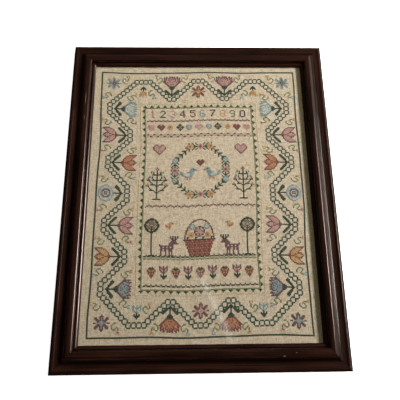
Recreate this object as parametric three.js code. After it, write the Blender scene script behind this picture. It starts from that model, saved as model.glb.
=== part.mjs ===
// Framed cross stitch sampler, lying on its back: four mitred rails of dark stained
// moulding hold a glass pane, an embroidered linen sheet and a backing board.
// Millimetres. +Z is up, out of the picture, +Y is towards the top of the picture, and
// the origin is the middle of the back, on the surface that the frame lies on.
import * as THREE from "three";

// The opening that shows the linen, and the moulding's width and rabbet. A standard frame for
// a 14 x 18 inch sheet covers a quarter of an inch of it on each side.
const INCH = 25.4;
const SHEET_WIDTH = 14 * INCH;
const SHEET_HEIGHT = 18 * INCH;
const RABBET_WIDTH = 0.25 * INCH;
const RAIL_WIDTH = 1.5 * INCH;
const SIGHT_WIDTH = SHEET_WIDTH - 2 * RABBET_WIDTH;
const SIGHT_HEIGHT = SHEET_HEIGHT - 2 * RABBET_WIDTH;

// Pieces lie this far apart, and the filling has this much play in the rabbet.
const GAP = 0.3;
const RABBET_PLAY = 1;

// Heights above the back, from the rabbet's seat down to the backing board.
const RABBET_Z = 13.2;
const GLASS_THICKNESS = 2;
const LINEN_THICKNESS = 1;
const BOARD_THICKNESS = 4;

// The moulding's face, as heights above the back and distances out from the sight edge. A
// bevelled and rounded lip rises to a quirk, an ovolo to the crest, which slopes outward to
// an arris, and a wide hollow with a steep side lies between that and the rounded shoulder.
const BEVEL_WIDTH = 1.4;
const BEVEL_Z = 15;
const LIP_WIDTH = 4.8;
const LIP_Z = 16.6;
const QUIRK_Z = 14.8;
const OVOLO_START = 5.5;
const OVOLO_Z = 15.6;
const CREST_START = 11.6;
const CREST_START_Z = 22.55;
const CREST_CORNER = 13.9;
const CREST_Z = 22.6;
const CREST_ROUNDING = 0.7;
const ARRIS = 17.8;
const ARRIS_Z = 20.9;
const FOOT = 22.7;
const FOOT_Z = 15.3;
const FOOT_ROUNDING = 1;
const HOLLOW_LOW = 26.8;
const HOLLOW_Z = 14.9;
const HOLLOW_END = 31.8;
const HOLLOW_END_Z = 15.8;
const SHOULDER_TOP = 33;
const SHOULDER_Z = 16;
const SHOULDER_END = 35.1;
const SHOULDER_END_Z = 15.3;
const SIDE_TOP_Z = 13.4;

// Steps in each curved stretch of the moulding.
const CURVE_STEPS = 8;

const mahogany = new THREE.MeshStandardMaterial({ color: 0x33190f, roughness: 0.32 });
const paneGlass = new THREE.MeshStandardMaterial({
  color: 0xeef4f0,
  roughness: 0.05,
  transparent: true,
  opacity: 0.15,
});
const linenCloth = new THREE.MeshStandardMaterial({ color: 0xc3b294, roughness: 0.95 });
const greyboard = new THREE.MeshStandardMaterial({ color: 0x8c7a62, roughness: 0.9 });

// The point at a distance from one point towards another.
function towards([x, y], [toX, toY], distance) {
  const share = distance / Math.hypot(toX - x, toY - y);
  return [x + (toX - x) * share, y + (toY - y) * share];
}

// The moulding's section: x runs out from the sight edge, and y up from the back.
function mouldingSection() {
  const crest = [CREST_CORNER, CREST_Z];
  const arris = [ARRIS, ARRIS_Z];
  const foot = [FOOT, FOOT_Z];
  const hollowLow = [HOLLOW_LOW, HOLLOW_Z];
  const section = new THREE.Shape();
  section.moveTo(0, RABBET_Z);
  section.lineTo(RABBET_WIDTH, RABBET_Z);
  section.lineTo(RABBET_WIDTH, 0);
  section.lineTo(RAIL_WIDTH, 0);
  section.lineTo(RAIL_WIDTH, SIDE_TOP_Z);
  // shoulder, over its top and down to the hollow
  section.lineTo(SHOULDER_END, SHOULDER_END_Z);
  section.quadraticCurveTo(SHOULDER_END - 1, SHOULDER_Z, SHOULDER_TOP, SHOULDER_Z);
  section.lineTo(HOLLOW_END, HOLLOW_END_Z);
  // hollow, and its steep side up to the arris
  section.quadraticCurveTo((HOLLOW_END + HOLLOW_LOW) / 2, HOLLOW_Z, ...hollowLow);
  section.lineTo(...towards(foot, hollowLow, FOOT_ROUNDING));
  section.quadraticCurveTo(...foot, ...towards(foot, arris, FOOT_ROUNDING));
  section.lineTo(...arris);
  // crest, and the ovolo down to the quirk
  section.lineTo(...towards(crest, arris, CREST_ROUNDING));
  section.quadraticCurveTo(...crest, CREST_CORNER - CREST_ROUNDING, CREST_Z);
  section.lineTo(CREST_START, CREST_START_Z);
  section.bezierCurveTo(
    (CREST_START + OVOLO_START * 2) / 3, CREST_START_Z - CREST_ROUNDING / 2,
    OVOLO_START, (CREST_START_Z * 5 + OVOLO_Z * 3) / 8,
    OVOLO_START, OVOLO_Z,
  );
  section.lineTo(OVOLO_START, QUIRK_Z);
  section.lineTo(LIP_WIDTH, QUIRK_Z);
  section.lineTo(LIP_WIDTH, LIP_Z);
  // lip, rounded at its top and bevelled down to the sight edge
  section.quadraticCurveTo((LIP_WIDTH + BEVEL_WIDTH) / 2, LIP_Z, BEVEL_WIDTH, BEVEL_Z);
  section.closePath();
  return section;
}

// A rail runs along X with its sight edge at y = 0 and its section towards -Y. Its ends are
// cut at 45 degrees, half a gap back from the mitre's plane.
function rail(name, sightLength) {
  const geometry = new THREE.ExtrudeGeometry(mouldingSection(), {
    depth: 1,
    bevelEnabled: false,
    curveSegments: CURVE_STEPS,
  });
  const mitreRetreat = (GAP / 2) * Math.SQRT2;
  const points = geometry.attributes.position;
  for (let i = 0; i < points.count; i++) {
    const outward = points.getX(i);
    const height = points.getY(i);
    const halfLength = sightLength / 2 + outward - mitreRetreat;
    const along = (1 - 2 * points.getZ(i)) * halfLength;
    points.setXYZ(i, along, -outward, height);
  }
  geometry.computeVertexNormals();
  const mesh = new THREE.Mesh(geometry, mahogany);
  mesh.name = name;
  return mesh;
}

function flatSheet(name, material, width, height, thickness, bottom) {
  const mesh = new THREE.Mesh(new THREE.BoxGeometry(width, height, thickness), material);
  mesh.name = name;
  mesh.position.z = bottom + thickness / 2;
  return mesh;
}

const sampler = new THREE.Group();

// One rail for each side: its name, the sight edge's length, how far that edge is from the
// middle, and how far the rail is turned.
const RAILS = [
  { name: "rail_bottom", length: SIGHT_WIDTH, reach: SIGHT_HEIGHT / 2, turn: 0 },
  { name: "rail_right", length: SIGHT_HEIGHT, reach: SIGHT_WIDTH / 2, turn: Math.PI / 2 },
  { name: "rail_top", length: SIGHT_WIDTH, reach: SIGHT_HEIGHT / 2, turn: Math.PI },
  { name: "rail_left", length: SIGHT_HEIGHT, reach: SIGHT_WIDTH / 2, turn: -Math.PI / 2 },
];
for (const { name, length, reach, turn } of RAILS) {
  const turned = new THREE.Group();
  const mesh = rail(name, length);
  mesh.position.y = -reach;
  turned.rotation.z = turn;
  turned.add(mesh);
  sampler.add(turned);
}

// What the rabbet holds, from the front: glass, linen and backing board.
const glassBottom = RABBET_Z - GAP - GLASS_THICKNESS;
const linenBottom = glassBottom - GAP - LINEN_THICKNESS;
const boardBottom = linenBottom - GAP - BOARD_THICKNESS;
const fillingWidth = SHEET_WIDTH - 2 * RABBET_PLAY;
const fillingHeight = SHEET_HEIGHT - 2 * RABBET_PLAY;
const FILLING = [
  { name: "glass_pane", material: paneGlass, thickness: GLASS_THICKNESS, bottom: glassBottom },
  { name: "linen_sheet", material: linenCloth, thickness: LINEN_THICKNESS, bottom: linenBottom },
  { name: "backing_board", material: greyboard, thickness: BOARD_THICKNESS, bottom: boardBottom },
];
for (const { name, material, thickness, bottom } of FILLING) {
  sampler.add(flatSheet(name, material, fillingWidth, fillingHeight, thickness, bottom));
}

export default sampler;
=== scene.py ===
"""Framed cross stitch sampler, lying on its back: stitched linen behind glass in a dark frame.

Metres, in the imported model's frame: +X to the picture's right, +Y to its top, +Z out of its
face. Chart places are in stitches from the middle of the linen.
"""

import math

import bmesh
import bpy
import numpy as np
from mathutils import Matrix, Vector


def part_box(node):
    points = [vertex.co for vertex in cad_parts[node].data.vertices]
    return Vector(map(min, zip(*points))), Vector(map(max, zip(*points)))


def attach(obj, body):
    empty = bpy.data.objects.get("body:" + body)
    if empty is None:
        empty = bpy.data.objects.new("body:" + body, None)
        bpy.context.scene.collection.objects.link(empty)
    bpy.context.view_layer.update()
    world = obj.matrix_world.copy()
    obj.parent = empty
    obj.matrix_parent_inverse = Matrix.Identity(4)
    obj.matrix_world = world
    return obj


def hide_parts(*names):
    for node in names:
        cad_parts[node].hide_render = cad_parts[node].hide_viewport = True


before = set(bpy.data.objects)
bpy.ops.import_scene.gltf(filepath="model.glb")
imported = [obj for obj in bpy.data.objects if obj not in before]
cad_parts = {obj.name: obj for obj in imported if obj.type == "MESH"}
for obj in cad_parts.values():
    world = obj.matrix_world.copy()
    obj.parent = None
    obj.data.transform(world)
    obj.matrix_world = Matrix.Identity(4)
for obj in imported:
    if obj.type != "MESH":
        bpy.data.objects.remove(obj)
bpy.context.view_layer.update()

MM = 0.001
INCH = 25.4 * MM
BODY = "root"

# Camera, as it was over the frame in the photograph.
IMAGE_SIZE = 400
FOCAL_PIXELS = 422.5
SENSOR_WIDTH = 36.0
CAMERA_PLACE = (-0.0146, -0.1934, 0.6357)
CAMERA_TURN = (math.radians(16.22), math.radians(-1.26), math.radians(-0.42))


def add_camera():
    data = bpy.data.cameras.new("camera")
    data.sensor_width = SENSOR_WIDTH
    data.lens = SENSOR_WIDTH * FOCAL_PIXELS / IMAGE_SIZE
    data.clip_start = 0.01
    camera = bpy.data.objects.new("camera", data)
    camera.location = CAMERA_PLACE
    axis = Vector(CAMERA_TURN)
    camera.rotation_euler = Matrix.Rotation(axis.length, 3, axis.normalized()).to_euler()
    bpy.context.scene.collection.objects.link(camera)
    bpy.context.scene.camera = camera


add_camera()

# The chart, in stitches from its centre, i to the right and j to the top.
LINE_I, LINE_J = 88, 117
PANEL_I, PANEL_J = 52, 85
PANEL_INSET, TENT_PITCH = 4, 6
BAND_I = 46

# A quarter of the border's chain, from the middle of the top to the middle of the right side:
# the direction and the number of links of each run, and how far apart the links are.
CHAIN_TOP_J = 108
EAST, SOUTH = (4, 0), (0, -4)
SOUTH_EAST, NORTH_EAST, SOUTH_WEST = (3, -3), (3, 3), (-3, -3)
CHAIN_RUNS = [
    (EAST, 1), (SOUTH_EAST, 6), (EAST, 1), (NORTH_EAST, 6), (EAST, 3), (SOUTH_EAST, 8),
    (SOUTH, 2), (SOUTH_WEST, 6), (SOUTH, 2), (SOUTH_EAST, 6), (SOUTH, 2), (SOUTH_WEST, 6),
    (SOUTH, 1),
]
# Places in the upper right quarter: flowers in the chain's outer and inner bays and along the
# top, and sprigs.
OUTER_FLOWER_I, OUTER_BAYS_J = 76, (54, 0)
INNER_FLOWER_I, INNER_BAYS_J = 66, (80, 28)
TOP_FLOWER, TOP_TULIP, TOP_STAR = (24, 103), (50, 98), (0, 97)
CORNER_STAR = (LINE_I - 11, LINE_J - 11)
OUTER_SPRIGS = [(83, 68), (83, 40), (83, 14), (83, 92)]
INNER_SPRIGS = [(60, 93), (60, 67), (60, 41), (60, 15)]
TOP_SPRIGS = [(11, 111), (37, 111), (65, 110)]
LONE_SPRIG = (41, 95)

# The panel's bands and what they hold: heights, reaches and pitches.
NUMBERS_J, FIRST_NUMBER_I, NUMBER_PITCH = 75, -41, 9
SMALL_MOTIFS_J, SMALL_MOTIF_PITCH = 62, 8.6
ROPE_J, UPPER_ZIGZAG_J, MIDDLE_ZIGZAG_J, LOWER_ZIGZAG_J = 54, 68, -12, -78
WREATH_J, WREATH_REACH, WREATH_SIDE = 21, 22, 9
HEART_I, HEART_J = 36, 41
DOVE_I, DOVE_J = 10, 18
MIDDLE_HEART_J = 28
TREE_I, TREE_GROUND, TRUNK_HEIGHT = 37, -5, 25
GROUND_J = -54
ROUND_TREE_I, ROUND_TREE_HEIGHT, CROWN_RADIUS = 40, 31, 6
STAG_I, STAG_RISE, BIRD_I, BIRD_RISE = 26, 9, 25, 27
BASKET_FOOT, BASKET_ROWS, RIM_REACH = 8, 13, 13
HANDLE_REACH, HANDLE_RISE = 12, 17
STRAWBERRIES_J, STRAWBERRY_PITCH, STRAWBERRY_REACH = -67, 10, 4

# Motifs, a row of letters for each row of stitches. A letter names a thread, or a role that
# the place of use gives one. A half chart ends with the middle column and is mirrored.
TULIP = """
.a......a
.aa....ab
.aba..aab
.abba.abb
.abbbaabb
.abbbbabb
.abbbbbab
..abbbbab
..abbbbba
...abbbba
....abbba
.....aaaa
.......aa
........g
.gg.....g
.gtg....g
..gtg...g
...gtg..g
....gtg.g
.....gggg
.......gg
........g
"""
CARNATION = """
...a..a.a
.a.aa.aaa
.aaabaaba
.abababab
.aabbabbb
aaabbbabb
.aababbba
..aabbbbb
...aabbab
....aabbb
.....aaaa
......ggg
......gtg
.......gg
..gg....g
.gttg...g
..ggtg..g
....gtg.g
.....gggg
.......gg
........g
"""
ROSE = """
.....aaa
...aabbb
..abbaaa
.abbaccc
.abaccbb
abbacbcc
abbacbcb
abbacbcc
.abaccbb
.abbaccc
..abbaaa
...aabbb
.....aaa
.......g
.gg....g
gttg...g
.gttg..g
..ggtg.g
....gggg
......gg
.......g
"""
HEART = """
..aa..
.abba.
abbbba
abbbbb
abbbbb
.abbbb
..abbb
...abb
....ab
.....a
"""
SMALL_HEART = """
.aa.
aaaa
aaaa
.aaa
..aa
...a
"""
ROSETTE = """
...aa
.aa.a
.abba
a.bbb
aaabc
"""
STAR = """
......a
.....aa
.aa..ab
.aaa.ab
..aaaab
...aabb
aabbbbc
"""
SMALL_ROSETTE = """
.aa
aab
abc
"""
CROSSLET = """
...a
..aa
.a.a
aaab
"""
DOVE = """
..........aa...
.........aakaa.
.........aaaaoo
a.......aaaa...
aa....aaaaaa...
aaabbbbbaaa....
.aabbbbbbaa....
..aaabbbaaa....
....aaaaaa.....
......o.o......
.....oo.oo.....
"""
STAG = """
..........k.k.k.k
..........k.k.k.k
...........kk.kk.
............kkk..
...........aaaa..
..........aaakaa.
.........aaaaaaaa
.a.......aaaa....
.aaaaaaaaaaaa....
..aabaabaabaa....
..aaaaaaaaaaa....
..aabaabaaaa.....
..aa.aa..aaa.....
..a...a..a.a.....
..a...a..a.a.....
..a...a..a.a.....
.aa..aa.aa.aa....
"""
SPRIG = """
.a.a....
.aba....
..a.....
..v..vv.
..v.v..v
...v...v
.......v
......v.
....vv..
"""
LINK = """
.aa
a..
a..
"""
STRAWBERRY = """
...g.
..ggg
.abaa
.aaba
.baaa
..aba
..baa
...aa
....a
"""
SMALL_TULIP = """
a..a
aa.a
abaa
abba
.aba
..aa
...g
.g.g
.ggg
..gg
...g
"""
BIRD = """
...aa..
..aaako
b.aaa..
bbabb..
.bbba..
...o...
"""
TOP_BUD = """
.a.
aba
bab
.b.
"""
DIGITS = {
    "1": "..#.. .##.. ..#.. ..#.. ..#.. ..#.. .###.",
    "2": ".###. #...# ....# ...#. ..#.. .#... #####",
    "3": ".###. #...# ....# ..##. ....# #...# .###.",
    "4": "...#. ..##. .#.#. #..#. ##### ...#. ...#.",
    "5": "##### #.... ####. ....# ....# #...# .###.",
    "6": ".###. #.... #.... ####. #...# #...# .###.",
    "7": "##### ....# ...#. ..#.. ..#.. .#... .#...",
    "8": ".###. #...# #...# .###. #...# #...# .###.",
    "9": ".###. #...# #...# .#### ....# ....# .###.",
    "0": ".###. #...# #...# #...# #...# #...# .###.",
}

QUADRANTS = [(1, 1), (1, -1), (-1, 1), (-1, -1)]

stitches = {}


def rows_of(chart):
    return chart.split()


def whole(half):
    """The rows of a half chart and their mirror images."""
    return [row + row[-2::-1] for row in rows_of(half)]


def fourfold(quarter):
    """The rows of a quarter chart, mirrored both ways."""
    rows = whole(quarter)
    return rows + rows[-2::-1]


def stitch(i, j, thread):
    stitches[round(i), round(j)] = thread


def place(rows, i, j, turn=0, flip=False, **roles):
    """Puts a motif's middle at (i, j), turned by quarter turns to the left."""
    height, width = len(rows), len(rows[0])
    for row, line in enumerate(rows):
        for column, letter in enumerate(line):
            if letter == ".":
                continue
            across = column - (width - 1) // 2
            up = (height - 1) // 2 - row
            if flip:
                across = -across
            for _ in range(turn):
                across, up = -up, across
            stitch(i + across, j + up, roles.get(letter, letter))


def both_sides(rows, i, j, **roles):
    """Puts a motif on one side and its mirror image on the other."""
    place(rows, i, j, **roles)
    place(rows, -i, j, flip=True, **roles)


def mirrored_place(rows, i, j, turn, flip, right, upper, **roles):
    """Puts a motif of the upper right quarter in its place in any quarter."""
    if not upper:
        turn, flip = (2 - turn) % 4, not flip
    if not right:
        turn, flip = -turn % 4, not flip
    place(rows, i if right else -i, j if upper else -j, turn, flip, **roles)


def along(start, end, thread):
    """A straight line of stitches."""
    (i0, j0), (i1, j1) = start, end
    steps = round(max(abs(i1 - i0), abs(j1 - j0)))
    for n in range(steps + 1):
        share = n / max(steps, 1)
        stitch(i0 + (i1 - i0) * share, j0 + (j1 - j0) * share, thread)


def border_line():
    corners = [(-LINE_I, -LINE_J), (LINE_I, -LINE_J), (LINE_I, LINE_J), (-LINE_I, LINE_J)]
    for start, end in zip(corners, corners[1:] + corners[:1]):
        along(start, end, "l")


def chain():
    """The border's winding chain of linked rings: a quarter of it is worked out and mirrored."""
    link = fourfold(LINK)
    links = [(0, CHAIN_TOP_J)]
    for (across, up), count in CHAIN_RUNS:
        for _ in range(count):
            i, j = links[-1]
            links.append((i + across, j + up))
    for i, j in links:
        for side in (1, -1):
            both_sides(link, i, side * j, a="t")


def border_flowers():
    """Flowers in the chain's bays, with other threads for a, b and c in the lower half."""
    tulip, carnation, star = whole(TULIP), whole(CARNATION), fourfold(STAR)
    (side_j, middle_j), (corner_j, inner_j) = OUTER_BAYS_J, INNER_BAYS_J
    flowers = [
        (whole(ROSE), (OUTER_FLOWER_I, middle_j), 3, "bwm", "bwm"),
        (tulip, (OUTER_FLOWER_I, side_j), 3, "mp", "ry"),
        (carnation, (INNER_FLOWER_I, corner_j), 1, "bw", "mb"),
        (tulip, (INNER_FLOWER_I, inner_j), 1, "ro", "mp"),
        (carnation, TOP_FLOWER, 0, "mp", "ro"),
        (whole(SMALL_TULIP), TOP_TULIP, 2, "yo", "bw"),
        (star, TOP_STAR, 0, "ryo", "mpo"),
        (star, CORNER_STAR, 0, "bmy", "mby"),
    ]
    for upper in (True, False):
        for rows, (i, j), turn, upper_threads, lower_threads in flowers:
            roles = dict(zip("abc", upper_threads if upper else lower_threads))
            for right in (True, False):
                mirrored_place(rows, i, j, turn, False, right, upper, **roles)


def sprigs():
    """Curled sprigs on both sides of the chain, whose flowers take turns of colour."""
    flowers = [("b", "w"), ("y", "o"), ("p", "m"), ("y", "s")]
    rows = rows_of(SPRIG)
    places = [(i, j, 3, n % 2) for n, (i, j) in enumerate(OUTER_SPRIGS)]
    places += [(i, j, 1, (n + 1) % 2) for n, (i, j) in enumerate(INNER_SPRIGS)]
    places += [(i, j, 0, n % 2) for n, (i, j) in enumerate(TOP_SPRIGS)]
    places += [(*LONE_SPRIG, 2, 1)]
    for n, (i, j, turn, flip) in enumerate(places):
        for upper in (True, False):
            a, b = flowers[(n + upper) % len(flowers)]
            for right in (True, False):
                mirrored_place(rows, i, j, turn, flip, right, upper, a=a, b=b)


def tents(edge, reach, upright):
    """A row of small tents between the panel's lines, on two opposite sides."""
    last = (reach - PANEL_INSET) // TENT_PITCH * TENT_PITCH
    for n in range(-last, last + 1, TENT_PITCH):
        for side in (1, -1):
            for shift, inset in ((-1, 3), (0, 3), (1, 3), (0, 2)):
                i, j = n + shift, side * (edge - inset)
                stitch(*((j, i) if upright else (i, j)), "g")


def panel():
    """The panel's double border, whose outer line is dashed."""
    for inset, thread, dash in ((0, "s", 3), (PANEL_INSET, "v", 0)):
        i, j = PANEL_I - inset, PANEL_J - inset
        edge = [(n, j) for n in range(-i, i + 1)] + [(i, n) for n in range(-j, j + 1)]
        for across, up in edge:
            if not dash or (across + up) % dash:
                stitch(across, up, thread)
                stitch(-across, -up, thread)
    tents(PANEL_J, PANEL_I, upright=False)
    tents(PANEL_I, PANEL_J, upright=True)


def numbers():
    for n, (rows, thread) in enumerate(zip(DIGITS.values(), "otpmrbgyvk")):
        digit = [line.replace("#", thread) for line in rows_of(rows)]
        place(digit, FIRST_NUMBER_I + NUMBER_PITCH * n, NUMBERS_J)


def small_motifs():
    """A row of hearts and flowers, the same to the left and the right of its middle."""
    row = [
        (whole(SMALL_HEART), "p", "m", "y"),
        (fourfold(SMALL_ROSETTE), "b", "w", "y"),
        (fourfold(CROSSLET), "g", "o", "y"),
        (fourfold(SMALL_ROSETTE), "y", "o", "r"),
        (whole(SMALL_HEART), "r", "m", "y"),
    ]
    for n in range(-len(row), len(row) + 1):
        rows, a, b, c = row[abs(n) % len(row)]
        place(rows, round(n * SMALL_MOTIF_PITCH), SMALL_MOTIFS_J, a=a, b=b, c=c)


def zigzag(j, thread, height=1, pitch=2):
    for i in range(-BAND_I, BAND_I + 1):
        phase = (i + BAND_I) % (2 * pitch)
        step = min(phase, 2 * pitch - phase)
        stitch(i, j + round(step * height / pitch), thread)


def rope(j, first, second):
    """Two waving lines of stitches that cross each other."""
    rises = (0, 1, 1, 0, -1, -1)
    for i in range(-BAND_I, BAND_I + 1):
        rise = rises[i % len(rises)]
        stitch(i, j + rise, first)
        stitch(i, j - rise, second)


def wreath(j):
    """An eight-sided wreath: a quarter of its leafy stem is worked out and mirrored."""
    across, up = 0, WREATH_REACH
    runs = [((1, 0), WREATH_SIDE), ((1, -1), WREATH_REACH - WREATH_SIDE),
            ((0, -1), WREATH_SIDE + 1)]
    steps = [step for step, count in runs for _ in range(count)]
    cells = []
    for n, (right, rise) in enumerate(steps):
        cells.append((across, up, "t"))
        if n % 3 == 1:
            if right and rise:
                leaves = [(right, 0), (0, rise)]
            else:
                leaves = [(right + rise, rise + right), (right - rise, rise - right)]
            cells += [(across + k * leaf_i, up + k * leaf_j, "g")
                      for leaf_i, leaf_j in leaves for k in (1, 2, 3)]
        across, up = across + right, up + rise
    for cell_i, cell_j, thread in cells:
        for side, height in QUADRANTS:
            stitch(side * cell_i, j + height * cell_j, thread)
    rosette = fourfold(SMALL_ROSETTE)
    spots = [
        (0, WREATH_REACH, "p", "m"), (WREATH_SIDE, WREATH_REACH, "y", "o"),
        (WREATH_REACH, WREATH_SIDE, "b", "w"), (WREATH_REACH, 0, "p", "m"),
    ]
    for spot_i, spot_j, a, b in spots:
        for side, height in QUADRANTS:
            place(rosette, side * spot_i, j + height * spot_j, a=a, b=b, c="r")


def round_tree(i, ground, height, radius):
    """A tree with a round crown and fruit on it."""
    top = ground + height - radius
    along((i, ground), (i, top), "g")
    along((i - 2, ground), (i + 2, ground), "g")
    for across in range(-radius, radius + 1):
        for up in range(-radius, radius + 1):
            distance = math.hypot(across, up)
            edge = distance > radius - 1.1
            if distance > radius + 0.3:
                continue
            if (across + 3 * up) % 7 == 0 and not edge:
                stitch(i + across, top + up, "o")
            elif edge or (across + up) % 2 == 0:
                stitch(i + across, top + up, "g")


def branching_tree(i, ground):
    """A slim tree whose branches rise in pairs and end in buds."""
    along((i, ground), (i, ground + TRUNK_HEIGHT), "g")
    along((i - 3, ground), (i + 3, ground), "g")
    tiers = [(5, 8, "y", "o"), (11, 7, "p", "m"), (16, 5, "b", "w"), (21, 4, "y", "s")]
    for height, reach, a, b in tiers:
        for side in (1, -1):
            tip_i, tip_j = i + side * reach, ground + height + reach - 1
            along((i, ground + height), (tip_i - side, tip_j - 1), "g")
            along((tip_i - 1, tip_j), (tip_i + 1, tip_j), "t")
            along((tip_i - 1, tip_j + 1), (tip_i + 1, tip_j + 1), a)
            along((tip_i, tip_j), (tip_i, tip_j + 2), b)
            middle, leaf_j = reach // 2, ground + height + reach // 2 - 1
            along((i + side * (middle + 1), leaf_j), (i + side * (middle + 2), leaf_j), "t")
    place(rows_of(TOP_BUD), i, ground + TRUNK_HEIGHT + 3, a="p", b="m")


def basket(ground):
    """A woven basket of flowers with a hooped handle."""
    for row in range(BASKET_ROWS):
        half = BASKET_FOOT + row // 3
        for i in range(-half, half + 1):
            light = i % 2 and row % 4 == 2 or i % 4 == 2 and row % 4 == 0
            stitch(i, ground + row, "o" if light else "r")
    rim = ground + BASKET_ROWS
    along((-RIM_REACH, rim), (RIM_REACH, rim), "k")
    for degrees in range(0, 181, 3):
        angle = math.radians(degrees)
        stitch(HANDLE_REACH * math.cos(angle), rim + HANDLE_RISE * math.sin(angle), "r")
    place(fourfold(ROSETTE), 0, rim + 7, a="m", b="p", c="y")
    both_sides(fourfold(SMALL_ROSETTE), 7, rim + 4, a="y", b="o", c="r")
    both_sides(fourfold(SMALL_ROSETTE), 6, rim + 11, a="b", b="w", c="y")
    for across in (-10, -3, 3, 10):
        along((across, rim + 1), (across, rim + 2), "g")
        stitch(across + 1, rim + 2, "t")


def strawberries():
    """A row of strawberries with a tulip between each two."""
    for n in range(-STRAWBERRY_REACH, STRAWBERRY_REACH + 1):
        if n % 2:
            place(whole(SMALL_TULIP), n * STRAWBERRY_PITCH, STRAWBERRIES_J, a="m", b="p")
        else:
            place(whole(STRAWBERRY), n * STRAWBERRY_PITCH, STRAWBERRIES_J, a="r", b="y")


def draw_chart():
    border_line()
    chain()
    border_flowers()
    sprigs()
    panel()
    numbers()
    zigzag(UPPER_ZIGZAG_J, "m")
    small_motifs()
    rope(ROPE_J, "g", "p")
    wreath(WREATH_J)
    both_sides(whole(HEART), HEART_I, HEART_J, a="m", b="p")
    both_sides(rows_of(DOVE), -DOVE_I, DOVE_J, a="b", b="w")
    place(whole(SMALL_HEART), 0, MIDDLE_HEART_J, a="r")
    zigzag(MIDDLE_ZIGZAG_J, "m", height=2, pitch=3)
    basket(GROUND_J + 1)
    for side in (1, -1):
        branching_tree(side * TREE_I, TREE_GROUND)
        round_tree(side * ROUND_TREE_I, GROUND_J + 1, ROUND_TREE_HEIGHT, CROWN_RADIUS)
        place(rows_of(STAG), side * STAG_I, GROUND_J + STAG_RISE, flip=side > 0, a="m", b="w")
        place(rows_of(BIRD), side * BIRD_I, GROUND_J + BIRD_RISE, flip=side > 0, a="y", b="o")
    zigzag(GROUND_J, "g")
    zigzag(GROUND_J - 2, "v")
    strawberries()
    zigzag(LOWER_ZIGZAG_J, "g")


draw_chart()

# Threads: letter, name, colour in linear light. The outer line is of a thicker one.
THREADS = {
    "g": ("dark_green", (0.016, 0.028, 0.014)),
    "l": ("line_green", (0.016, 0.028, 0.014)),
    "t": ("teal_green", (0.017, 0.052, 0.034)),
    "b": ("pale_blue", (0.165, 0.22, 0.23)),
    "p": ("pink", (0.37, 0.205, 0.185)),
    "m": ("plum", (0.12, 0.052, 0.056)),
    "y": ("gold", (0.37, 0.225, 0.095)),
    "o": ("terracotta", (0.34, 0.15, 0.08)),
    "r": ("brown_red", (0.15, 0.045, 0.036)),
    "k": ("near_black", (0.028, 0.022, 0.022)),
    "s": ("straw", (0.42, 0.34, 0.19)),
    "v": ("sage", (0.14, 0.16, 0.075)),
    "w": ("pale_grey", (0.38, 0.36, 0.32)),
}
LINE_THREAD = "l"

# Other colours in linear light: the linen's pale and warm patches, slubs, flecks and the gaps of
# its weave, darkened partly as painted shade; the frame's stain, wear and painted shade in its
# hollow and quirk; the pane's tint and a painted glare streak; and the board.
LINEN_PALE, LINEN_WARM = (0.510, 0.423, 0.335), (0.525, 0.436, 0.365)
SLUB, FLECK, WEAVE_HOLES_AND_SHADE = (0.29, 0.222, 0.150), (0.23, 0.18, 0.12), (0.11, 0.085, 0.06)
STAIN_DARK, STAIN_LIGHT = (0.0040, 0.0013, 0.0008), (0.019, 0.0070, 0.0043)
PORE, PAINTED_RECESS_SHADE = (0.004, 0.002, 0.0015), (0.0016, 0.0006, 0.0004)
RUBBED, CHIPPED, LACQUER_TINT = (0.10, 0.036, 0.026), (0.36, 0.23, 0.18), (1.0, 0.82, 0.75)
PANE_TINT, GLARE_FILM = (0.965, 0.975, 0.965), (0.85, 0.84, 0.80)
PULP_DARK, PULP_LIGHT, PULP_STAIN = (0.17, 0.125, 0.085), (0.27, 0.205, 0.14), (0.12, 0.08, 0.05)
FLOOR_PALE, WHITE = (0.92, 0.92, 0.92), (1, 1, 1)
ROOM_COLOUR = (1.0, 0.97, 0.92)


class Nodes:
    """The node tree of a material or world, whose nodes are made with their inputs."""

    def __init__(self, owner):
        owner.use_nodes = True
        self.owner = owner
        self.tree = owner.node_tree
        self.tree.nodes.clear()

    def add(self, kind, inputs=None, **settings):
        made = self.tree.nodes.new("ShaderNode" + kind)
        for key, value in settings.items():
            setattr(made, key, value)
        for key, value in (inputs or {}).items():
            self.feed(made.inputs[key], value)
        return made

    def feed(self, socket, value):
        if isinstance(value, bpy.types.NodeSocket):
            self.tree.links.new(value, socket)
        elif socket.type == "RGBA":
            socket.default_value = (*value, 1.0)
        else:
            socket.default_value = value

    def attribute(self, name, output="Fac"):
        return self.add("Attribute", attribute_name=name, attribute_type="GEOMETRY").outputs[output]

    def math(self, operation, *values):
        return self.add("Math", dict(enumerate(values)), operation=operation).outputs[0]

    def mix(self, share, first, second):
        """Mixes two colours; a share of 1 gives the second one."""
        places = {0: share, 6: first, 7: second}
        return self.add("Mix", places, data_type="RGBA").outputs[2]

    def spread(self, value, low, high, to_low=0.0, to_high=1.0):
        """value's range from low to high, spread to another range and cut off there."""
        places = {0: value, 1: low, 2: high, 3: to_low, 4: to_high}
        return self.add("MapRange", places).outputs[0]

    def noise(self, vector, scale, detail=2.0, roughness=0.5):
        places = {"Vector": vector, "Scale": scale, "Detail": detail, "Roughness": roughness}
        return self.add("TexNoise", places).outputs[0]

    def stretched(self, vector, scale):
        return self.add("VectorMath", {0: vector, 1: scale}, operation="MULTIPLY").outputs[0]

    def scaled(self, vector, scale):
        return self.add("VectorMath", {0: vector, "Scale": scale}, operation="SCALE").outputs[0]

    def bump(self, height, distance, strength=1.0):
        places = {"Height": height, "Distance": distance, "Strength": strength}
        return self.add("Bump", places).outputs[0]

    def finish(self, shader):
        """Joins a shader to the output, and gives back the material or world."""
        kind = "OutputWorld" if isinstance(self.owner, bpy.types.World) else "OutputMaterial"
        self.add(kind, {"Surface": shader.outputs[0]})
        return self.owner


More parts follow.
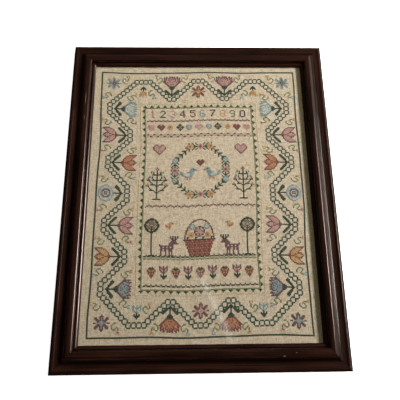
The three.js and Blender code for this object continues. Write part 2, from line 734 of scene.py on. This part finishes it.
# The linen's weave and the stitches' pitch over two of its threads.
THREAD_PITCH = INCH / 28
STITCH_PITCH = 2 * THREAD_PITCH


def linen_material():
    """Unbleached even-weave linen, with uneven threads, aged patches, and gaps between its threads
    darkened partly as painted shade.
    """
    n = Nodes(bpy.data.materials.new("linen_weave"))
    place_here = n.add("TexCoord").outputs["Object"]
    split = n.add("SeparateXYZ", {0: place_here})
    waves = [n.math("SINE", n.math("MULTIPLY", split.outputs[axis], math.pi / THREAD_PITCH))
             for axis in (0, 1)]
    over = n.math("GREATER_THAN", n.math("MULTIPLY", waves[0], waves[1]), 0.0)
    across, up = (n.math("ABSOLUTE", wave) for wave in waves)
    warp = n.math("MULTIPLY", n.math("POWER", across, 0.9), n.math("POWER", up, 0.35))
    weft = n.math("MULTIPLY", n.math("POWER", across, 0.35), n.math("POWER", up, 0.9))
    height = n.add("Mix", {0: over, 2: weft, 3: warp}).outputs[0]
    warp_tone = n.noise(n.stretched(place_here, (1 / THREAD_PITCH, 90.0, 0.0)), 0.8, 2.0, 0.6)
    weft_tone = n.noise(n.stretched(place_here, (90.0, 1 / THREAD_PITCH, 0.0)), 0.8, 2.0, 0.6)
    thread_tone = n.add("Mix", {0: over, 2: weft_tone, 3: warp_tone}).outputs[0]
    patches = n.noise(place_here, 7.0, 3.0, 0.6)
    flecks = n.noise(place_here, 350.0, 2.0)
    colour = n.mix(n.spread(patches, 0.35, 0.65), LINEN_PALE, LINEN_WARM)
    colour = n.mix(n.spread(thread_tone, 0.40, 0.68), colour, SLUB)
    colour = n.mix(n.spread(flecks, 0.43, 0.66, 0.0, 0.5), colour, FLECK)
    # the weave's gaps and the dips between its threads: partly holes in the weave, partly painted shade
    colour = n.mix(n.spread(height, 0.5, 0.1, 0.0, 0.75), colour, WEAVE_HOLES_AND_SHADE)
    fibres = n.noise(place_here, 6000.0, 2.0)
    rise = n.math("ADD", height, n.math("MULTIPLY", fibres, 0.25))
    return n.finish(n.add("BsdfPrincipled", {
        "Base Color": colour, "Roughness": 0.92, "Specular IOR Level": 0.15,
        "Sheen Weight": 0.12, "Sheen Roughness": 0.5, "Normal": n.bump(rise, 0.00018),
    }))


def thread_material(name, colour):
    """Stranded cotton: two twisted strands a stitch, uneven in tone, with a soft sheen and painted shade
    in the grooves between the strands.
    """
    n = Nodes(bpy.data.materials.new("thread_" + name))
    lie = n.add("SeparateXYZ", {0: n.attribute("lie", "Vector")})
    share_along, share_across, random_tone = lie.outputs
    twist = n.math("MULTIPLY_ADD", share_along, 38.0, n.math("MULTIPLY", share_across, 9.0))
    strands = n.math("MULTIPLY_ADD", n.math("SINE", twist), 0.5, 0.5)
    light = n.scaled(colour, n.spread(random_tone, 0.0, 1.0, 0.72, 1.25))
    # painted shade: the grooves between the twisted strands are a darker copy of the thread's colour
    dark = n.scaled(light, 0.55)
    return n.finish(n.add("BsdfPrincipled", {
        "Base Color": n.mix(n.spread(strands, 0.0, 0.45), dark, light), "Roughness": 0.7,
        "Specular IOR Level": 0.3, "Sheen Weight": 0.15, "Normal": n.bump(strands, 0.00008),
    }))


def lacquer_material():
    """Dark mahogany stain under lacquer, with grain along each rail, worn edges, and painted shade on
    the hollow's steep side and in the quirk.
    """
    n = Nodes(bpy.data.materials.new("mahogany_lacquer"))
    grain = n.attribute("grain", "Vector")
    worn, pooled = n.attribute("worn"), n.attribute("pooled")
    streaks = n.noise(n.stretched(grain, (5.0, 420.0, 420.0)), 1.0, 4.0, 0.6)
    pores = n.noise(n.stretched(grain, (70.0, 2600.0, 2600.0)), 1.0, 2.0)
    clouds = n.noise(n.stretched(grain, (14.0, 60.0, 60.0)), 1.0, 2.0)
    dust = n.noise(n.stretched(grain, (60.0, 300.0, 300.0)), 1.0, 4.0, 0.7)
    tone = n.math("MULTIPLY_ADD", clouds, 0.5, n.math("MULTIPLY", streaks, 0.6))
    colour = n.mix(n.spread(tone, 0.38, 0.72), STAIN_DARK, STAIN_LIGHT)
    colour = n.mix(n.spread(pores, 0.62, 0.75, 0.0, 0.5), colour, PORE)
    # painted shade: the hollow's steep side and the quirk are coloured darker
    colour = n.mix(pooled, colour, PAINTED_RECESS_SHADE)
    rubbed = n.math("MULTIPLY", n.spread(worn, 0.2, 0.6), n.spread(streaks, 0.42, 0.6))
    colour = n.mix(n.math("MULTIPLY", rubbed, 0.55), colour, RUBBED)
    colour = n.mix(n.spread(worn, 0.75, 0.95), colour, CHIPPED)
    relief = n.math("MULTIPLY_ADD", pores, -0.4, streaks)
    return n.finish(n.add("BsdfPrincipled", {
        "Base Color": colour, "Roughness": n.spread(dust, 0.3, 0.7, 0.14, 0.24),
        "Specular IOR Level": 0.25, "Specular Tint": LACQUER_TINT,
        "Normal": n.bump(relief, 0.00003, 0.5),
    }))


# A painted glare streak on the glass: a faint whitish film where a light's reflection lies, low and
# right of the middle.
GLARE_MIDDLE = (0.021, -0.172, 0.0)
GLARE_LENGTH, GLARE_WIDTH = 0.13, 0.007
GLARE_TURN = math.radians(-26)
GLARE_WANDER = 0.006


def glass_material():
    """A clear pane that mirrors at glancing angles, with a painted glare streak."""
    n = Nodes(bpy.data.materials.new("pane_glass"))
    clear = n.add("BsdfTransparent", {"Color": PANE_TINT})
    shine = n.add("BsdfGlossy", {"Color": WHITE, "Roughness": 0.03})
    facing = n.add("LayerWeight", {"Blend": 0.5}).outputs["Facing"]
    mirrored_share = n.math("MULTIPLY_ADD", n.math("POWER", facing, 5.0), 0.95, 0.02)
    pane = n.add("MixShader", {0: mirrored_share, 1: clear.outputs[0], 2: shine.outputs[0]})
    place_here = n.add("TexCoord").outputs["Object"]
    turned = n.add("VectorRotate", {"Vector": place_here, "Center": GLARE_MIDDLE, "Angle": GLARE_TURN},
                   rotation_type="Z_AXIS")
    shifted = n.add("VectorMath", {0: turned.outputs[0], 1: GLARE_MIDDLE}, operation="SUBTRACT")
    split = n.add("SeparateXYZ", {0: shifted.outputs[0]})
    wander = n.noise(place_here, 45.0, 3.0)
    wander = n.math("MULTIPLY_ADD", wander, 2 * GLARE_WANDER, -GLARE_WANDER)
    across = n.math("ABSOLUTE", n.math("ADD", split.outputs[0], wander))
    far = n.math("ABSOLUTE", split.outputs[1])
    reach = n.spread(far, GLARE_LENGTH / 2, GLARE_LENGTH / 5)
    # painted reflection: a faint whitish streak stands in for a light's glare on the pane
    glare_streak = n.math("MULTIPLY", n.spread(across, GLARE_WIDTH, 0.0), reach)
    painted_glare = n.add("BsdfDiffuse", {"Color": GLARE_FILM})
    share = n.math("MULTIPLY", glare_streak, 0.10)
    return n.finish(n.add("MixShader", {0: share, 1: pane.outputs[0], 2: painted_glare.outputs[0]}))


def board_material():
    """Grey-brown pulp board with short fibres and faint stains."""
    n = Nodes(bpy.data.materials.new("pulp_board"))
    place_here = n.add("TexCoord").outputs["Object"]
    fibres = n.noise(n.stretched(place_here, (900.0, 300.0, 300.0)), 1.0, 4.0, 0.7)
    stains = n.noise(place_here, 9.0, 4.0, 0.55)
    colour = n.mix(n.spread(fibres, 0.3, 0.7), PULP_DARK, PULP_LIGHT)
    colour = n.mix(n.spread(stains, 0.52, 0.72, 0.0, 0.35), colour, PULP_STAIN)
    return n.finish(n.add("BsdfPrincipled", {
        "Base Color": colour, "Roughness": 0.9, "Normal": n.bump(fibres, 0.0001, 0.5),
    }))


def mesh_piece(name, points, faces, material, slot, **attributes):
    """A new smooth piece that rides on the body, with values or vectors at its points."""
    mesh = bpy.data.meshes.new(name)
    mesh.from_pydata([tuple(p) for p in points], [], [tuple(map(int, f)) for f in faces])
    mesh.validate()
    mesh.polygons.foreach_set("use_smooth", np.full(len(mesh.polygons), True))
    mesh.materials.append(material)
    for key, values in attributes.items():
        vectors = values.ndim > 1 and values.shape[-1] == 3
        layer = mesh.attributes.new(key, "FLOAT_VECTOR" if vectors else "FLOAT", "POINT")
        layer.data.foreach_set("vector" if vectors else "value", values.astype(np.float32).ravel())
    piece = bpy.data.objects.new(name, mesh)
    bpy.context.scene.collection.objects.link(piece)
    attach(piece, BODY)
    return piece


def grid_faces(rows, columns, first=0):
    """Quads of a grid of points, counter-clockwise as rows go up and columns to the right."""
    corner = first + np.arange((rows - 1) * columns).reshape(rows - 1, columns)[:, :-1].ravel()
    return np.stack([corner, corner + 1, corner + columns + 1, corner + columns], 1)


# Cloth and stitches share the space of the sheet's solid.
cloth_low, cloth_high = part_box("linen_sheet")
CLOTH_THICKNESS = 0.5 * MM
CLOTH_CLEARANCE = 0.05 * MM
CLOTH_TOP = cloth_low.z + CLOTH_CLEARANCE + CLOTH_THICKNESS
CLOTH_STEP = 3.2 * MM
PULL = 1.6 * MM
RIPPLE = 0.05 * MM


def pulled(x, y):
    """How far the cloth's weave is off its place at (x, y), and how high its surface lies.

    The waves' numbers are radians a metre.
    """
    off_x = PULL * (0.6 * np.sin(17 * y + 0.8) + 0.5 * np.sin(31 * y + 9 * x) - 0.25 * np.sin(58 * y))
    off_y = PULL * (0.5 * np.sin(15 * x - 0.4) + 0.5 * np.sin(34 * x + 7 * y) + 0.2 * np.sin(71 * x))
    height = RIPPLE * (np.sin(43 * x + 11 * y) + np.sin(37 * y - 19 * x + 1.3))
    return off_x, off_y, CLOTH_TOP + height


def add_linen():
    """The cloth as a thin closed sheet with a slight ripple."""
    columns = int((cloth_high.x - cloth_low.x) / CLOTH_STEP) + 1
    rows = int((cloth_high.y - cloth_low.y) / CLOTH_STEP) + 1
    xs, ys = np.meshgrid(np.linspace(cloth_low.x, cloth_high.x, columns),
                         np.linspace(cloth_low.y, cloth_high.y, rows))
    top = np.stack([xs, ys, pulled(xs, ys)[2]], 2).reshape(-1, 3)
    under = top - (0, 0, CLOTH_THICKNESS)
    count = len(top)
    index = np.arange(count).reshape(rows, columns)
    rim = np.concatenate([index[0, :-1], index[:-1, -1], index[-1, :0:-1], index[:0:-1, 0]])
    after = np.roll(rim, -1)
    walls = np.stack([rim + count, after + count, after, rim], 1)
    under_faces = grid_faces(rows, columns, count)[:, ::-1]
    faces = np.concatenate([grid_faces(rows, columns), under_faces, walls])
    return mesh_piece("linen", np.concatenate([top, under]), faces, linen_material(), "linen")


# A stitch's leg: its width, thickness, and how its ends and middle lie over the cloth, with
# the places of its rings along it and a ring's corners across and up.
LEG_WIDTH, LINE_LEG_WIDTH = 1.15 * MM, 1.75 * MM
LEG_THICKNESS = 0.32 * MM
LEG_SINK = 0.16 * MM
UNDER_LIFT, OVER_LIFT = 0.0 * MM, 0.17 * MM
LEG_STRAY = 0.05 * MM
LEG_STATIONS = np.array([0.0, 0.28, 0.72, 1.0])
LEG_SECTION = np.array([(-0.5, 0.0), (0.5, 0.0), (0.33, 1.0), (-0.33, 1.0)])


def leg_points(cells, rising, lift, leg_width, random):
    """The points of one leg of each stitch, with where each lies along and round the leg."""
    count = len(cells)
    x, y = cells[:, 0] * STITCH_PITCH, cells[:, 1] * STITCH_PITCH
    off_x, off_y, surface = pulled(x, y)
    ends = np.array([(-1, -1), (1, 1)]) if rising else np.array([(-1, 1), (1, -1)])
    start, end = (ends[k] * STITCH_PITCH / 2 + random.normal(0, LEG_STRAY, (count, 2))
                  for k in (0, 1))
    way = end - start
    way /= np.linalg.norm(way, axis=1, keepdims=True)
    side = np.stack([-way[:, 1], way[:, 0]], 1)
    width = leg_width * random.uniform(0.88, 1.1, count)
    thick = LEG_THICKNESS * random.uniform(0.85, 1.1, count)
    tone = random.uniform(0, 1, count)
    points = np.zeros((count, len(LEG_STATIONS), len(LEG_SECTION), 3))
    lie = np.zeros_like(points)
    for s, share in enumerate(LEG_STATIONS):
        middle = start + (end - start) * share + np.stack([x + off_x, y + off_y], 1)
        level = surface + (-LEG_SINK if share in (0.0, 1.0) else lift)
        for k, (across, up) in enumerate(LEG_SECTION):
            points[:, s, k, :2] = middle + side * (across * width)[:, None]
            points[:, s, k, 2] = level + up * thick
            lie[:, s, k] = np.stack([np.full(count, share), np.full(count, across), tone], 1)
    return points.reshape(-1, 3), lie.reshape(-1, 3)


def leg_faces(count):
    """The faces of a number of legs: their sides, and both ends."""
    sides, stations = len(LEG_SECTION), len(LEG_STATIONS)
    rings = [[s * sides + k, s * sides + (k + 1) % sides,
              (s + 1) * sides + (k + 1) % sides, (s + 1) * sides + k]
             for s in range(stations - 1) for k in range(sides)]
    last = (stations - 1) * sides
    one = np.array(rings + [[3, 2, 1, 0], [last, last + 1, last + 2, last + 3]])[:, ::-1]
    return (np.arange(count)[:, None, None] * sides * stations + one).reshape(-1, 4)


def cells_of(key, zone):
    """The places of a thread's stitches in the border or the panel."""
    return np.array(sorted(
        (i, j) for (i, j), thread in stitches.items()
        if thread == key and (abs(i) <= PANEL_I and abs(j) <= PANEL_J) == (zone == "panel")
    ))


def add_stitches():
    """One piece for each thread in the border and in the panel."""
    random = np.random.default_rng(14)
    pieces = []
    for key, (name, colour) in THREADS.items():
        material = thread_material(name, colour)
        width = LINE_LEG_WIDTH if key == LINE_THREAD else LEG_WIDTH
        for zone in ("border", "panel"):
            cells = cells_of(key, zone)
            if not len(cells):
                continue
            legs = [leg_points(cells, True, UNDER_LIFT, width, random),
                    leg_points(cells, False, OVER_LIFT, width, random)]
            points, lie = (np.concatenate(part) for part in zip(*legs))
            faces = leg_faces(2 * len(cells))
            piece = mesh_piece(f"stitches_{zone}_{name}", points, faces, material, "thread", lie=lie)
            pieces.append(piece)
    return pieces


# The moulding's section: distances out from the sight edge and heights over the back. The
# arris and the shoulder are where the lacquer's highlights lie, up to 0.7 mm off the solid's.
rail_low, rail_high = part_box("rail_bottom")
RAIL_WIDTH = rail_high.y - rail_low.y
RABBET_WIDTH, RABBET_Z = 6.35 * MM, 13.2 * MM
BEVEL, LIP, QUIRK_Z = (1.4 * MM, 15.0 * MM), (4.8 * MM, 16.6 * MM), 14.8 * MM
OVOLO, OVOLO_MIDDLE, OVOLO_TOP = (5.5 * MM, 15.6 * MM), (5.5 * MM, 20.4 * MM), (6.9 * MM, 22.2 * MM)
CREST_START, CREST = (11.6 * MM, 22.55 * MM), (13.9 * MM, 22.6 * MM)
ARRIS, FOOT = (17.8 * MM, 20.2 * MM), (22.7 * MM, 15.2 * MM)
HOLLOW_LOW, HOLLOW_TURN = (26.8 * MM, 14.8 * MM), (30.3 * MM, 14.8 * MM)
HOLLOW_END, SHOULDER = (31.8 * MM, 16.0 * MM), (33.0 * MM, 16.2 * MM)
SHOULDER_CORNER, SIDE_TOP = (34.1 * MM, 16.2 * MM), (RAIL_WIDTH, 13.6 * MM)
# How far each corner's rounding reaches.
BACK_EASE, SIDE_EASE, CORNER_EASE, SHOULDER_EASE = 0.5 * MM, 0.6 * MM, 0.4 * MM, 0.5 * MM
FOOT_EASE, ARRIS_EASE, CREST_EASE, LIP_EASE = 0.95 * MM, 0.35 * MM, 1.0 * MM, 0.3 * MM
CURVE_STEPS, EASE_STEPS = 12, 5
# Points on the crest's slope, as shares of the way from the arris, for chips to dent.
SLOPE_SHARES = (0.15, 0.30, 0.45, 0.60)


def bezier(*controls):
    """Points of a Bezier curve of any order."""
    points = []
    for t in np.linspace(0, 1, CURVE_STEPS + 1):
        level = [np.array(c) for c in controls]
        while len(level) > 1:
            level = [a * (1 - t) + b * t for a, b in zip(level, level[1:])]
        points.append(tuple(level[0]))
    return points


def eased(corner, before, after, reach):
    """A corner between two points, rounded off."""
    corner, before, after = (np.array(p) for p in (corner, before, after))
    start = corner + (before - corner) / np.linalg.norm(before - corner) * reach
    end = corner + (after - corner) / np.linalg.norm(after - corner) * reach
    return [tuple(start * (1 - t) ** 2 + corner * 2 * t * (1 - t) + end * t ** 2)
            for t in np.linspace(0, 1, EASE_STEPS + 1)]


def moulding_section():
    """The section's outline, counter-clockwise with x out from the sight edge and y up."""
    outline = [(0, RABBET_Z), (RABBET_WIDTH, RABBET_Z), (RABBET_WIDTH, 0)]
    outline += eased((RAIL_WIDTH, 0), (RABBET_WIDTH, 0), SIDE_TOP, BACK_EASE)
    outline += eased(SIDE_TOP, (RAIL_WIDTH, 0), SHOULDER_CORNER, SIDE_EASE)
    outline += eased(SHOULDER_CORNER, SIDE_TOP, SHOULDER, CORNER_EASE)
    outline += eased(SHOULDER, SHOULDER_CORNER, HOLLOW_END, SHOULDER_EASE)
    outline += bezier(HOLLOW_END, HOLLOW_TURN, HOLLOW_LOW)
    outline += eased(FOOT, HOLLOW_LOW, ARRIS, FOOT_EASE)
    outline += eased(ARRIS, FOOT, CREST, ARRIS_EASE)
    slope = np.array(CREST) - ARRIS
    outline += [tuple(ARRIS + slope * share) for share in SLOPE_SHARES]
    outline += eased(CREST, ARRIS, CREST_START, CREST_EASE)
    outline += bezier(CREST_START, OVOLO_TOP, OVOLO_MIDDLE, OVOLO)
    outline += [(OVOLO[0], QUIRK_Z), (LIP[0], QUIRK_Z), (LIP[0], LIP[1] - LIP_EASE)]
    outline += bezier((LIP[0] - LIP_EASE, LIP[1]), ((LIP[0] + BEVEL[0]) / 2, LIP[1]), BEVEL)
    return np.array(outline)


SECTION = moulding_section()
MITRE_GAP = 0.12 * MM
STATION_STEP = 4 * MM

# Small chips and two scuffs: the rail, how far along it and out from the sight edge they lie,
# how long and wide they are, and how deep a chip is. Along runs to the rail's right, seen from
# the picture's middle with the rail below.
CHIPS = [
    ("rail_bottom", -115 * MM, 11.6 * MM, 1.7 * MM, 1.1 * MM, 0.25 * MM),
    ("rail_bottom", 114 * MM, 16.2 * MM, 2.0 * MM, 1.0 * MM, 0.30 * MM),
    ("rail_bottom", 131 * MM, 11.3 * MM, 1.6 * MM, 1.0 * MM, 0.20 * MM),
]
SCUFFS = [
    ("rail_left", -158 * MM, 11.5 * MM, 28 * MM, 0.9 * MM),
    ("rail_left", -123 * MM, 11.6 * MM, 9 * MM, 0.9 * MM),
]
CHIP_WEAR, SCUFF_WEAR = 1.15, 0.95
RAIL_TURNS = {"rail_bottom": 0, "rail_right": 1, "rail_top": 2, "rail_left": 3}

# The face's waver and the wear of its edges change along the rail in waves, whose numbers are
# radians a metre.
WAVER = 0.035 * MM
WAVER_WAVES, WEAR_WAVES = (21, 67), (90, 37)
# Where painted shade darkens the lacquer's colour: on the hollow's steep side and in the quirk.
STEEP_SIDE, STEEP_REACH, QUIRK_REACH = 21.8 * MM, 3.4 * MM, 1.2 * MM


def rail_stations(name, half_length):
    """Shares of the rail's length, with close ones where a chip is."""
    shares = list(np.linspace(-1, 1, round(2 * half_length / STATION_STEP) + 1))
    for rail, place_along, _, length, *_ in CHIPS:
        if rail == name:
            shares += [(place_along + k * length / 2) / half_length for k in range(-4, 5)]
    return np.array(sorted(shares))


def hump(distance, reach, power=2):
    """1 where the distance is 0, falling off smoothly beyond its reach."""
    return np.exp(-(distance / reach) ** power)


def rail_surface(name, along_rail, out, up, phase):
    """The heights of a rail's points with its waver and chips, and how worn they are."""
    face = SECTION[:, 1] > QUIRK_Z
    first, second = (np.sin(wave * along_rail + p) for wave, p in zip(WAVER_WAVES, phase[:2]))
    up = up - np.where(face, WAVER * (1 + 0.5 * first + 0.5 * second), 0)
    edge = hump(out - ARRIS[0] + 0.2 * MM, 0.7 * MM) + 0.5 * hump(out - SHOULDER_CORNER[0], 0.6 * MM)
    first, second = (np.sin(wave * along_rail + p) for wave, p in zip(WEAR_WAVES, phase[2:]))
    worn = np.where(face, edge, 0) * (0.3 + 0.2 * first * second)
    for rail, place_along, place_out, length, width, depth in CHIPS:
        if rail == name:
            chip = hump(along_rail - place_along, length) * hump(out - place_out, width)
            chip = np.where(face, chip, 0)
            up = up - depth * chip
            worn = np.maximum(worn, CHIP_WEAR * chip)
    for rail, place_along, place_out, length, width in SCUFFS:
        if rail == name:
            scuff = hump(along_rail - place_along, length) * hump(out - place_out, width)
            worn = np.maximum(worn, SCUFF_WEAR * np.where(face, scuff, 0))
    return up, worn


def add_rail(name, material, random):
    """A rail of the moulding with mitred ends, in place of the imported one."""
    turn = RAIL_TURNS[name]
    low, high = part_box(name)
    if turn % 2:
        outer_half, reach = (high.y - low.y) / 2, max(abs(low.x), abs(high.x))
    else:
        outer_half, reach = (high.x - low.x) / 2, max(abs(low.y), abs(high.y))
    stations = rail_stations(name, outer_half)
    half = np.minimum(outer_half - RAIL_WIDTH + SECTION[:, 0] + MITRE_GAP, outer_half)
    along_rail = stations[:, None] * half
    out, up = (np.broadcast_to(SECTION[:, k], along_rail.shape) for k in (0, 1))
    up, worn = rail_surface(name, along_rail, out, up, random.uniform(0, 2 * math.pi, 4))
    # painted shade on the hollow's steep side and in the quirk, handed to the lacquer as an attribute
    pooled = 0.9 * hump(out - STEEP_SIDE, STEEP_REACH, 4) + 0.6 * hump(out - OVOLO[0], QUIRK_REACH)
    girth = np.concatenate([[0], np.cumsum(np.linalg.norm(np.diff(SECTION, axis=0), axis=1))])
    girth = np.broadcast_to(girth, up.shape)
    grain = np.stack([along_rail + turn * 1.7, girth, up + turn * 0.3], 2)
    points = np.stack([along_rail, -(reach - RAIL_WIDTH) - out, up], 2).reshape(-1, 3)
    spin = np.array(Matrix.Rotation(turn * math.pi / 2, 3, "Z"))
    index = np.arange(up.size).reshape(up.shape)
    after = np.roll(index, -1, axis=1)
    walls = np.stack([index[:-1], after[:-1], after[1:], index[1:]], 2).reshape(-1, 4)
    faces = [*walls, index[0, ::-1], index[-1]]
    piece = mesh_piece(name.replace("rail", "moulding"), points @ spin.T, faces, material,
                       "frame_wood", grain=grain, worn=worn, pooled=pooled)
    work = bmesh.new()
    work.from_mesh(piece.data)
    bmesh.ops.triangulate(work, faces=[f for f in work.faces if len(f.verts) > 4])
    work.to_mesh(piece.data)
    work.free()
    piece.data.set_sharp_from_angle(angle=math.radians(35))
    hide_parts(name)


lacquer = lacquer_material()
rail_random = np.random.default_rng(5)
for rail_name in RAIL_TURNS:
    add_rail(rail_name, lacquer, rail_random)

linen = add_linen()
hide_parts("linen_sheet")
sewn = add_stitches()


def refinish(node, material):
    """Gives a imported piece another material, and leaves its shape alone."""
    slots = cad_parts[node].data.materials
    slots.clear()
    slots.append(material)


refinish("glass_pane", glass_material())
refinish("backing_board", board_material())

FLOOR_HALF = 6.0
FLOOR_Z = -0.3 * MM
FLOOR_GLOW = 0.9


def add_floor():
    """A plain pale floor under the frame's back."""
    n = Nodes(bpy.data.materials.new("pale_floor"))
    material = n.finish(n.add("BsdfPrincipled", {
        "Base Color": FLOOR_PALE, "Roughness": 0.9, "Specular IOR Level": 0.0,
        "Emission Color": WHITE, "Emission Strength": FLOOR_GLOW,
    }))
    mesh = bpy.data.meshes.new("floor")
    corners = [(FLOOR_HALF * x, FLOOR_HALF * y, 0) for x, y in ((-1, -1), (1, -1), (1, 1), (-1, 1))]
    mesh.from_pydata(corners, [], [(0, 1, 2, 3)])
    mesh.materials.append(material)
    floor = bpy.data.objects.new("floor", mesh)
    floor.location.z = FLOOR_Z
    floor.visible_glossy = False
    bpy.context.scene.collection.objects.link(floor)


def add_light(name, azimuth, elevation, distance, size, power, colour, aim=0.0, spread=180, glossy=True):
    """An area light at an azimuth, 0 at +X and 90 at +Y, in degrees, that faces (0, aim, 0)."""
    a, e = math.radians(azimuth), math.radians(elevation)
    way = Vector((math.cos(a) * math.cos(e), math.sin(a) * math.cos(e), math.sin(e)))
    data = bpy.data.lights.new(name, "AREA")
    data.shape = "RECTANGLE"
    data.size, data.size_y = size
    data.energy = power
    data.color = colour
    data.spread = math.radians(spread)
    light = bpy.data.objects.new(name, data)
    light.location = way * distance
    light.rotation_euler = (light.location - Vector((0, aim, 0))).to_track_quat("Z", "Y").to_euler()
    light.visible_glossy = glossy
    bpy.context.scene.collection.objects.link(light)


# The dim room and what glows in it: a direction, how near to it the glow starts and is full,
# as cosines, and how bright it is.
ROOM_STRENGTH = 0.02
GLOWS = [
    ((0.95, 0.28, 0.05), 0.60, 0.95, 1.00),
    ((0.20, 0.80, 0.55), 0.20, 1.00, 0.08),
]


def add_world():
    """A white backdrop for the camera, and the dim room for light and mirrorings."""
    n = Nodes(bpy.data.worlds.new("studio"))
    way = n.add("TexCoord").outputs["Generated"]
    strength = ROOM_STRENGTH
    for direction, start, full, glow in GLOWS:
        places = {0: way, 1: Vector(direction).normalized()}
        facing = n.add("VectorMath", places, operation="DOT_PRODUCT").outputs["Value"]
        places = {0: facing, 1: start, 2: full, 3: 0.0, 4: glow}
        shine = n.add("MapRange", places, interpolation_type="SMOOTHSTEP").outputs[0]
        strength = n.math("ADD", shine, strength)
    room = n.add("Background", {"Color": ROOM_COLOUR, "Strength": strength})
    backdrop = n.add("Background", {"Color": WHITE})
    seen = n.add("LightPath").outputs["Is Camera Ray"]
    bpy.context.scene.world = n.finish(n.add("MixShader", {
        0: seen, 1: room.outputs[0], 2: backdrop.outputs[0],
    }))


add_floor()
add_world()
add_light("key", 13.2, 35.5, 2.3, (1.3, 0.26), 16.5, (1.0, 0.965, 0.93), aim=0.26, spread=56)
add_light("fill", 90, 68, 0.75, (0.5, 0.5), 1.8, (1.0, 0.98, 0.66), glossy=False)
bpy.context.scene.view_settings.view_transform = "Standard"
